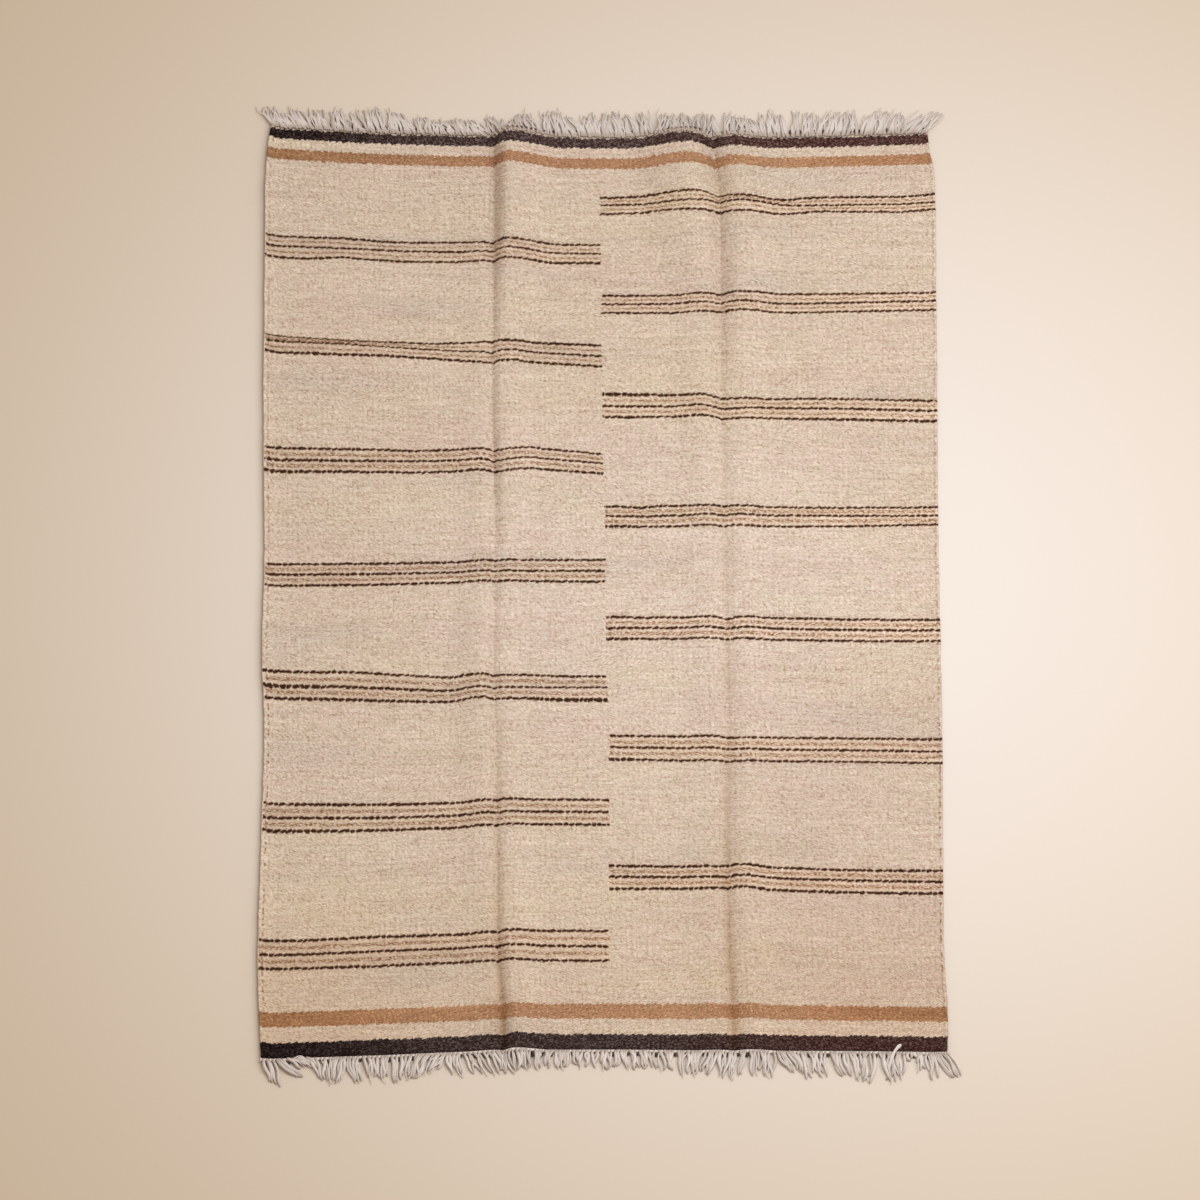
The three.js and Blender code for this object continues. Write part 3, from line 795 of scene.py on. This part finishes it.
# The fringe: the ends of the warps, plied off-white yarn, held behind a twined cord at each end of the weave.
# They lean together in small tufts, fall from the cord to the floor and lie on it, and fray into thin wisps.
fringe_tufts = {
    "far_fringe": {
        "end": 1,
        "first_number": 0,
        "second_yarns": 0.80,
        "wisps": 0.90,
        "tip_brown": 0.9,
        "cord_tone": -0.8,
        "root_back": 0.0042,
        "usual_length": 0.044,
        "across": (
            -0.600, -0.560, -0.470, -0.405, -0.340, -0.300, -0.240, -0.180, -0.120,
            -0.030, 0.040, 0.120, 0.165, 0.220, 0.300, 0.400, 0.520, 0.600,
        ),
        "lean": (-46, -34, -32, -24, -28, -18, -28, -26, -20, -22, -4, -8, -12, -10, -24, 4, 10, 40),
        "length": (
            0.90, 0.95, 0.92, 1.12, 0.85, 0.68, 0.75, 0.90, 1.20,
            1.08, 1.05, 1.20, 1.30, 1.05, 1.05, 1.08, 1.05, 1.08,
        ),
    },
    "near_fringe": {
        "end": -1,
        "first_number": 5000,
        "second_yarns": 0.50,
        "wisps": 0.55,
        "tip_brown": 1.3,
        "cord_tone": 1.0,
        "root_back": 0.0008,
        "usual_length": 0.047,
        "across": (
            -0.600, -0.565, -0.550, -0.522, -0.508, -0.430, -0.300, -0.210, -0.120, 0.000,
            0.100, 0.200, 0.300, 0.400, 0.516, 0.530, 0.546, 0.560, 0.600,
        ),
        "lean": (34, 32, 20, 0, -8, -2, -22, 20, -6, -8, 4, -4, 16, 14, -4, 4, 10, 28, 42),
        "length": (
            1.00, 1.05, 0.30, 0.30, 1.00, 1.00, 0.98, 0.92, 0.75, 0.75,
            0.80, 0.98, 0.95, 1.08, 1.15, 0.30, 0.30, 1.10, 1.20,
        ),
    },
}
lock_count = 144
lock_width = 0.0044
lock_tip_spacing = 0.005
lock_root_depth = 0.003
lean_scatter = 20
length_scatter = 0.22
parting_gap = 0.0003
edge_cord_width = 0.005
edge_cord_height = 0.004
lock_droop = 1.5


def scatter(number):
    """A repeatable scatter between 0 and 1."""
    wave = math.sin(number * 127.1 + 11.7) * 43758.5453
    return wave - math.floor(wave)


def plan_locks(tufts):
    """The roots and tips of the locks at one end, and the tuft that each belongs to."""
    end, first = tufts["end"], tufts["first_number"]
    pitch = (cloth_width - lock_width * 2) / (lock_count - 1)
    number = np.arange(lock_count)
    lock_across = -cloth_width / 2 + lock_width + number * pitch
    usual = smooth_curve(tufts["across"], tufts["length"], lock_across) * tufts["usual_length"]
    usual_lean = smooth_curve(tufts["across"], tufts["lean"], lock_across)
    roots = lay_down(lock_across, end * cloth_length / 2)
    roots[:, 1] += end * (parting_gap + edge_cord_width - lock_root_depth)
    tips = np.zeros((lock_count, 3))
    tuft_of = np.array([math.floor(k / 3 + 0.4 * scatter(first + k // 3)) for k in number])
    for k in number:
        length = usual[k] * (1 + length_scatter * (scatter(first + 1000 + k) - 0.5))
        lean = math.radians(usual_lean[k] + lean_scatter * 2 * (scatter(first + 2000 + tuft_of[k]) - 0.5))
        reach = length * math.sqrt(1 - min(roots[k, 2] / length, 0.85) ** 2)
        tips[k, :2] = roots[k, :2] + np.array([reach * math.sin(lean), end * reach * math.cos(lean)])
        if k:
            tips[k, 0] = max(tips[k, 0], tips[k - 1, 0] + lock_tip_spacing)
    return roots, tips, tuft_of


# One straight yarn is modelled once, one unit long along +Y and one unit in radius, and then copied.
yarn_sides = 5
yarn_rings = 9
bpy.ops.object.select_all(action="DESELECT")
facing_along = (math.pi / 2, 0, 0)
bpy.ops.mesh.primitive_circle_add(vertices=yarn_sides, radius=1, fill_type="NGON", rotation=facing_along)
yarn = bpy.context.object
yarn.name = "one_yarn"
bpy.ops.object.transform_apply(location=True, rotation=True, scale=True)
bpy.ops.object.mode_set(mode="EDIT")
bpy.ops.mesh.select_all(action="SELECT")
for ring in range(yarn_rings):
    move = {"value": (0, 1 / yarn_rings, 0)}
    bpy.ops.mesh.extrude_region_move(TRANSFORM_OT_translate=move)
bpy.ops.mesh.select_all(action="SELECT")
bpy.ops.mesh.normals_make_consistent(inside=False)
bpy.ops.object.mode_set(mode="OBJECT")
bpy.ops.object.shade_smooth()
yarn_points = points_of(yarn)

yarn_radius = 0.00275


def lay_yarn(name, centres, radii, tones):
    """A copy of the yarn, bent along a line of centres, with a radius and a tone for each of its rings."""
    strand = yarn.copy()
    strand.data = yarn.data.copy()
    strand.name = name
    bpy.context.collection.objects.link(strand)
    centres, radii, tones = np.asarray(centres), np.asarray(radii), np.asarray(tones)
    ring_of = np.rint(yarn_points[:, 1] * yarn_rings).astype(int)
    heading = np.gradient(centres, axis=0)
    heading /= np.linalg.norm(heading, axis=1)[:, None]
    sideways = np.cross(heading, (0, 0, 1.0))
    sideways /= np.linalg.norm(sideways, axis=1)[:, None]
    upwards = np.cross(sideways, heading)
    offset = sideways[ring_of] * yarn_points[:, 0:1] + upwards[ring_of] * yarn_points[:, 2:3]
    points = centres[ring_of] + offset * radii[ring_of][:, None]
    strand.data.vertices.foreach_set("co", points.ravel())
    steps = np.linalg.norm(np.diff(centres, axis=0), axis=1)
    run = np.concatenate([[0], np.cumsum(steps)])
    turn = np.stack([yarn_points[:, 0], yarn_points[:, 2], run[ring_of]], axis=1)
    keep(strand, "yarn_turn", "POINT", turn)
    keep(strand, "yarn_tone", "POINT", tones[ring_of])
    return strand


def yarn_line(root, tip, bow, wiggle, hump):
    """The centres of one yarn from its root in the cord to its tip on the floor."""
    t = np.linspace(0, 1, yarn_rings + 1)[:, None]
    run = (tip - root) * (1, 1, 0)
    side = np.array([-run[1], run[0], 0]) / max(np.linalg.norm(run), 1e-6)
    line = root * (1, 1, 0) + run * t + side * (bow * np.sin(np.pi * t) + wiggle * np.sin(2 * np.pi * t) * t)
    height = root[2] * (1 - t[:, 0]) ** lock_droop + hump * np.sin(np.pi * t[:, 0]) ** 2
    line[:, 2] = height + yarn_radius
    return line


cord_turn = 0.0085
cord_yarn_radius = 0.00185
cord_spread = 0.0011
cord_rise = 0.0008
cord_steps_per_turn = 8


def twine_edge_cord(name, end, cord_tone):
    """The two yarns that twine round each other along one end of the weave."""
    turns = round(cloth_width / cord_turn)
    cord_across = np.linspace(-cloth_width / 2, cloth_width / 2, turns * cord_steps_per_turn + 1)
    middle = lay_down(cord_across, end * cloth_length / 2)
    middle[:, 1] += end * (parting_gap + edge_cord_width * 0.45)
    middle[:, 2] += edge_cord_height * 0.5
    made = []
    for yarn_number in (0, 1):
        turn = 2 * np.pi * (np.arange(len(cord_across)) / cord_steps_per_turn + yarn_number / 2)
        points = middle + np.stack([0 * turn, cord_spread * np.cos(turn), cord_rise * np.sin(turn)], axis=1)
        bpy.ops.object.select_all(action="DESELECT")
        bpy.ops.curve.primitive_nurbs_path_add()
        twine = bpy.context.object
        twine.name = f"{name}_{yarn_number + 1}"
        twine.data.splines.clear()
        spline = twine.data.splines.new("POLY")
        spline.points.add(len(points) - 1)
        spline.points.foreach_set("co", np.insert(points, 3, 1.0, axis=1).ravel())
        twine.data.bevel_depth = cord_yarn_radius
        twine.data.bevel_resolution = 1
        twine.data.use_fill_caps = True
        bpy.ops.object.convert(target="MESH")
        twine = bpy.context.object
        keep(twine, "yarn_tone", "POINT", np.full(len(twine.data.vertices), cord_tone))
        made.append(twine)
    return made


def join_pieces(name, parts):
    """The parts as one smooth mesh with this name."""
    bpy.ops.object.select_all(action="DESELECT")
    for part in parts:
        part.select_set(True)
    bpy.context.view_layer.objects.active = parts[0]
    bpy.ops.object.join()
    joined = bpy.context.object
    joined.name = name
    bpy.ops.object.shade_smooth()
    return joined


# The yarn: smooth, plied and off-white, greyer than the wool, painted brown as shade where it runs into the
# weave, and brown at its tips. A tone of 1 is white, 0 is grey, -1 is brown, and -2 is the painted shade in
# the holes beside the roots, as dark as the weft that partly shows there.
warp_white = (0.765, 0.690, 0.655)
warp_grey = (0.500, 0.418, 0.372)
warp_brown = (0.300, 0.200, 0.148)
weft_and_shade_dark = (0.080, 0.046, 0.035)
ply_turn = 0.0070
warp_relief = 0.0006

warp, warp_shader, strand = new_material("plied_warp", roughness=0.85, specular=0.20)
turned = strand.kept("yarn_turn")
tone = strand.kept("yarn_tone", "Fac")
angle = turned.part("Z") * (2 * math.pi / ply_turn)
ply = turned.part("X") * angle.math("SINE") + turned.part("Y") * angle.math("COSINE")
body = strand.node("ShaderNodeTexCoord", None, {}, "Object")
fibre_look = {"Vector": body, "Scale": 700.0, "Detail": 2.0}
fibres = strand.node("ShaderNodeTexNoise", None, fibre_look) - 0.5
warp_colour = strand.blend(tone, warp_grey, warp_white)
warp_colour = warp_colour.tint(warp_brown, tone.fade(0.0, -1.0)).tint(weft_and_shade_dark, tone.fade(-1.0, -2.0))
warp_colour = warp_colour.shaded(1.0 + fibres * 0.35 - ply.fade(0.2, 0.9) * 0.16)
ply_height = abs(ply) * -0.5 + fibres * 0.6
warp_colour.feed(warp_shader, "Base Color")
ply_height.raised(warp_relief).feed(warp_shader, "Normal")
warp_shader.inputs["Sheen Weight"].default_value = 0.15

ring_places = np.linspace(0, 1, yarn_rings + 1)
stub_share = 0.90
stub_length = 0.0062
stub_offset = (0.0041, 0.0030)
stub_radii = 0.0031 * np.interp(ring_places, (0, 0.2, 0.8, 1), (0.8, 1, 0.9, 0.3))
tuft_pull = 0.30
pair_spacing = 0.0036
most_bow = 0.0120
most_wiggle = 0.0090
most_hump = 0.0030
wisp_offset = 0.0018
wisp_spread = 0.022
wisp_radius = 0.0012
wisp_hump = 0.0035
wisp_tone = 0.9
wisp_least_run = 0.022
fray_spread = 0.010
yarn_taper = np.interp(ring_places, (0, 0.1, 0.7, 0.9, 1), (0.85, 1, 0.95, 0.70, 0.25))

for name, tufts in fringe_tufts.items():
    roots, tips, tuft_of = plan_locks(tufts)
    end, first = tufts["end"], tufts["first_number"]
    strands = twine_edge_cord(f"{name}_cord", end, tufts["cord_tone"])
    for k in range(lock_count):
        tuft_tip = tips[tuft_of == tuft_of[k]].mean(axis=0)
        yarns_here = 2 if scatter(first + 4000 + k) < tufts["second_yarns"] else 1
        for j in range(yarns_here):
            number = first + 100 + 2 * k + j
            aside = (j - (yarns_here - 1) / 2) * pair_spacing
            root_back = tufts["root_back"] * (0.4 + scatter(number + 2700))
            root = roots[k] + np.array([aside, -end * root_back, edge_cord_height * 0.30 + root_back * 0.5])
            shorter = 1.03 - 0.24 * scatter(number + 600)
            gathered = tips[k] + (tuft_tip - tips[k]) * tuft_pull
            tip = roots[k] + (gathered - roots[k]) * shorter
            tip[0] += (scatter(number + 300) - 0.5) * fray_spread + aside
            bow = (scatter(number + 900) - 0.5) * most_bow
            wiggle = (scatter(number + 1200) - 0.5) * most_wiggle
            hump = most_hump * scatter(number + 1500)
            centres = yarn_line(root, tip, bow, wiggle, hump)
            radii = yarn_radius * (0.72 + 0.50 * scatter(number + 1800)) * yarn_taper
            centres[:, 2] = np.maximum(centres[:, 2], radii)
            lightness = 0.25 + 0.75 * scatter(number + 2100) ** 0.6
            tip_fade = 0.5 + 0.5 * scatter(number + 2400)
            tip_tone = 1 - tip_fade * tufts["tip_brown"]
            # Painted shade: each yarn is browner at its root, where it runs into the weave.
            tones = np.interp(ring_places, (0, 0.12, 0.25, 0.70, 1), (-0.3, 0.2, 1, 1, tip_tone))
            strands.append(lay_yarn(f"{name}_yarn", centres, radii, tones * lightness))
        lock_run = np.linalg.norm(tips[k] - roots[k])
        if lock_run > wisp_least_run and scatter(first + 6000 + k) < tufts["wisps"]:
            stray_across = (scatter(first + 6300 + k) - 0.5) * wisp_spread
            stray_along = (scatter(first + 6600 + k) - 0.5) * 0.6 * wisp_spread
            wisp_root = roots[k] + np.array([wisp_offset, 0.0, edge_cord_height * 0.4])
            wisp_tip = tips[k] + np.array([stray_across, stray_along, 0])
            wisp = yarn_line(wisp_root, wisp_tip, stray_along, stray_across * 0.4, wisp_hump)
            tones = np.full(yarn_rings + 1, wisp_tone)
            strands.append(lay_yarn(f"{name}_wisp", wisp, wisp_radius * yarn_taper, tones))
        # Short dark stubs beside the roots: painted shade in the holes between the roots, partly the dark
        # weft showing there.
        if scatter(first + 5000 + k) < stub_share:
            beside = roots[k] + np.array([stub_offset[0], end * stub_offset[1], 0.0])
            stub_run = stub_length * (0.7 + 0.6 * scatter(first + 5300 + k))
            beyond = beside + np.array([0.0, end * stub_run, -beside[2]])
            stub = yarn_line(beside, beyond, 0.0, 0.0, 0.0)
            strands.append(lay_yarn(f"{name}_root_shade_stub", stub, stub_radii, np.full(yarn_rings + 1, -2.0)))
    fringe = join_pieces(f"{name}_yarns", strands)
    fringe.data.materials.clear()
    fringe.data.materials.append(warp)
    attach(fringe, "root")
    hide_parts(name)

# A loose strand near the right of the near end: one plied warp end, of the fringe's own yarn, that has come
# out of its tuft and flipped back over the dark band.
loose_line = {
    "across": (0.4985, 0.5010, 0.5035, 0.5060, 0.5085, 0.5110, 0.5140, 0.5170, 0.5205, 0.5240),
    "along": (-0.9400, -0.9280, -0.9170, -0.9070, -0.8990, -0.8925, -0.8870, -0.8825, -0.8785, -0.8750),
    "height": (0.0020, 0.0030, 0.0040, 0.0055, 0.0070, 0.0075, 0.0075, 0.0070, 0.0065, 0.0060),
}
loose_centres = np.stack([loose_line["across"], loose_line["along"], loose_line["height"]], axis=1)
loose_centres[:, :2] += middle_of_weave
loose_radii = yarn_radius * np.array((0.5, 0.8, 0.9, 1.1, 1.2, 1.0, 0.9, 1.1, 1.3, 0.8))
loose_tones = np.array((-0.4, 0.4, 0.8, 1.0, 1.0, 1.0, 1.0, 1.0, 1.0, 0.8))
loose_strand = lay_yarn("loose_strand", loose_centres, loose_radii, loose_tones)
loose_strand.data.materials.append(warp)
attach(loose_strand, "root")
bpy.data.objects.remove(yarn)

# The floor: a plain pale studio floor of matt paint, with painted light and shade in its colour: a little
# warmer and deeper towards its left and its corners, where less light reaches it, and palest in a painted
# pool of light.
floor_size = 16
floor_pale = (0.735, 0.674, 0.640)
floor_shade_colour = (0.540, 0.422, 0.290)
floor_light_centre = (0.28, 0.05)
floor_light_reach = 1.8

bpy.ops.object.select_all(action="DESELECT")
bpy.ops.mesh.primitive_plane_add(size=floor_size)
floor = bpy.context.object
floor.name = "studio_floor"
paint, paint_shader, ground = new_material("pale_floor", roughness=0.9, specular=0.1)
spot = ground.node("ShaderNodeTexCoord", None, {}, "Object")
aside = spot.part("X") - floor_light_centre[0]
away = spot.part("Y") - floor_light_centre[1]
squared = (aside * aside + away * away) / floor_light_reach**2
# Painted light: the floor's colour is palest in a pool about this centre and deeper and warmer further out.
floor_light_pool = ground.math("POWER", squared + 1.0, -2.0)
floor_colour = ground.blend(floor_light_pool, floor_shade_colour, floor_pale)
floor_colour.feed(paint_shader, "Base Color")
floor.data.materials.append(paint)

# The light: a large soft lamp from the right, another overhead, and a pale warm room around them that fills
# the shadows.
soft_lights = {
    "side_light": {"place": (2.6, -0.3, 3.0), "aim": (0.1, 0, 0), "size": 1.8, "power": 48},
    "overhead_light": {"place": (0.60, 0.05, 3.4), "aim": (0.40, 0, 0), "size": 1.8, "power": 65},
}
lamp_colour = (0.910, 0.961, 1.0)
room_light = 0.58
room_colour = (1.0, 0.87, 0.72, 1.0)
for name, light in soft_lights.items():
    bpy.ops.object.light_add(type="AREA", location=light["place"])
    lamp = bpy.context.object
    lamp.name = name
    lamp.data.size = light["size"]
    lamp.data.energy = light["power"]
    lamp.data.color = lamp_colour
    lamp.visible_camera = False
    toward = Vector(light["aim"]) - Vector(light["place"])
    lamp.rotation_euler = toward.to_track_quat("-Z", "Y").to_euler()
room = bpy.data.worlds.new("pale_room")
room.use_nodes = True
room.node_tree.nodes["Background"].inputs["Color"].default_value = room_colour
room.node_tree.nodes["Background"].inputs["Strength"].default_value = room_light
bpy.context.scene.world = room
bpy.context.scene.view_settings.view_transform = "Standard"

# The camera: a long lens, high over the near end of the rug, at the photograph's angle and framing.
camera_distance = 24.0
camera_elevation = math.radians(66)
aim_before_middle = 0.025
camera_target = Vector((middle_of_weave[0], middle_of_weave[1] - aim_before_middle, 0.0))
pixels_per_metre = 566
frame_width = 1200
sensor_width = 36
camera_back = Vector((0, -math.cos(camera_elevation), math.sin(camera_elevation)))
bpy.ops.object.camera_add(location=camera_target + camera_back * camera_distance)
camera = bpy.context.object
camera.name = "photo_camera"
camera.rotation_euler = (math.pi / 2 - camera_elevation, 0, 0)
camera.data.sensor_width = sensor_width
camera.data.lens = sensor_width * pixels_per_metre * camera_distance / frame_width
camera.data.clip_end = 200
bpy.context.scene.camera = camera
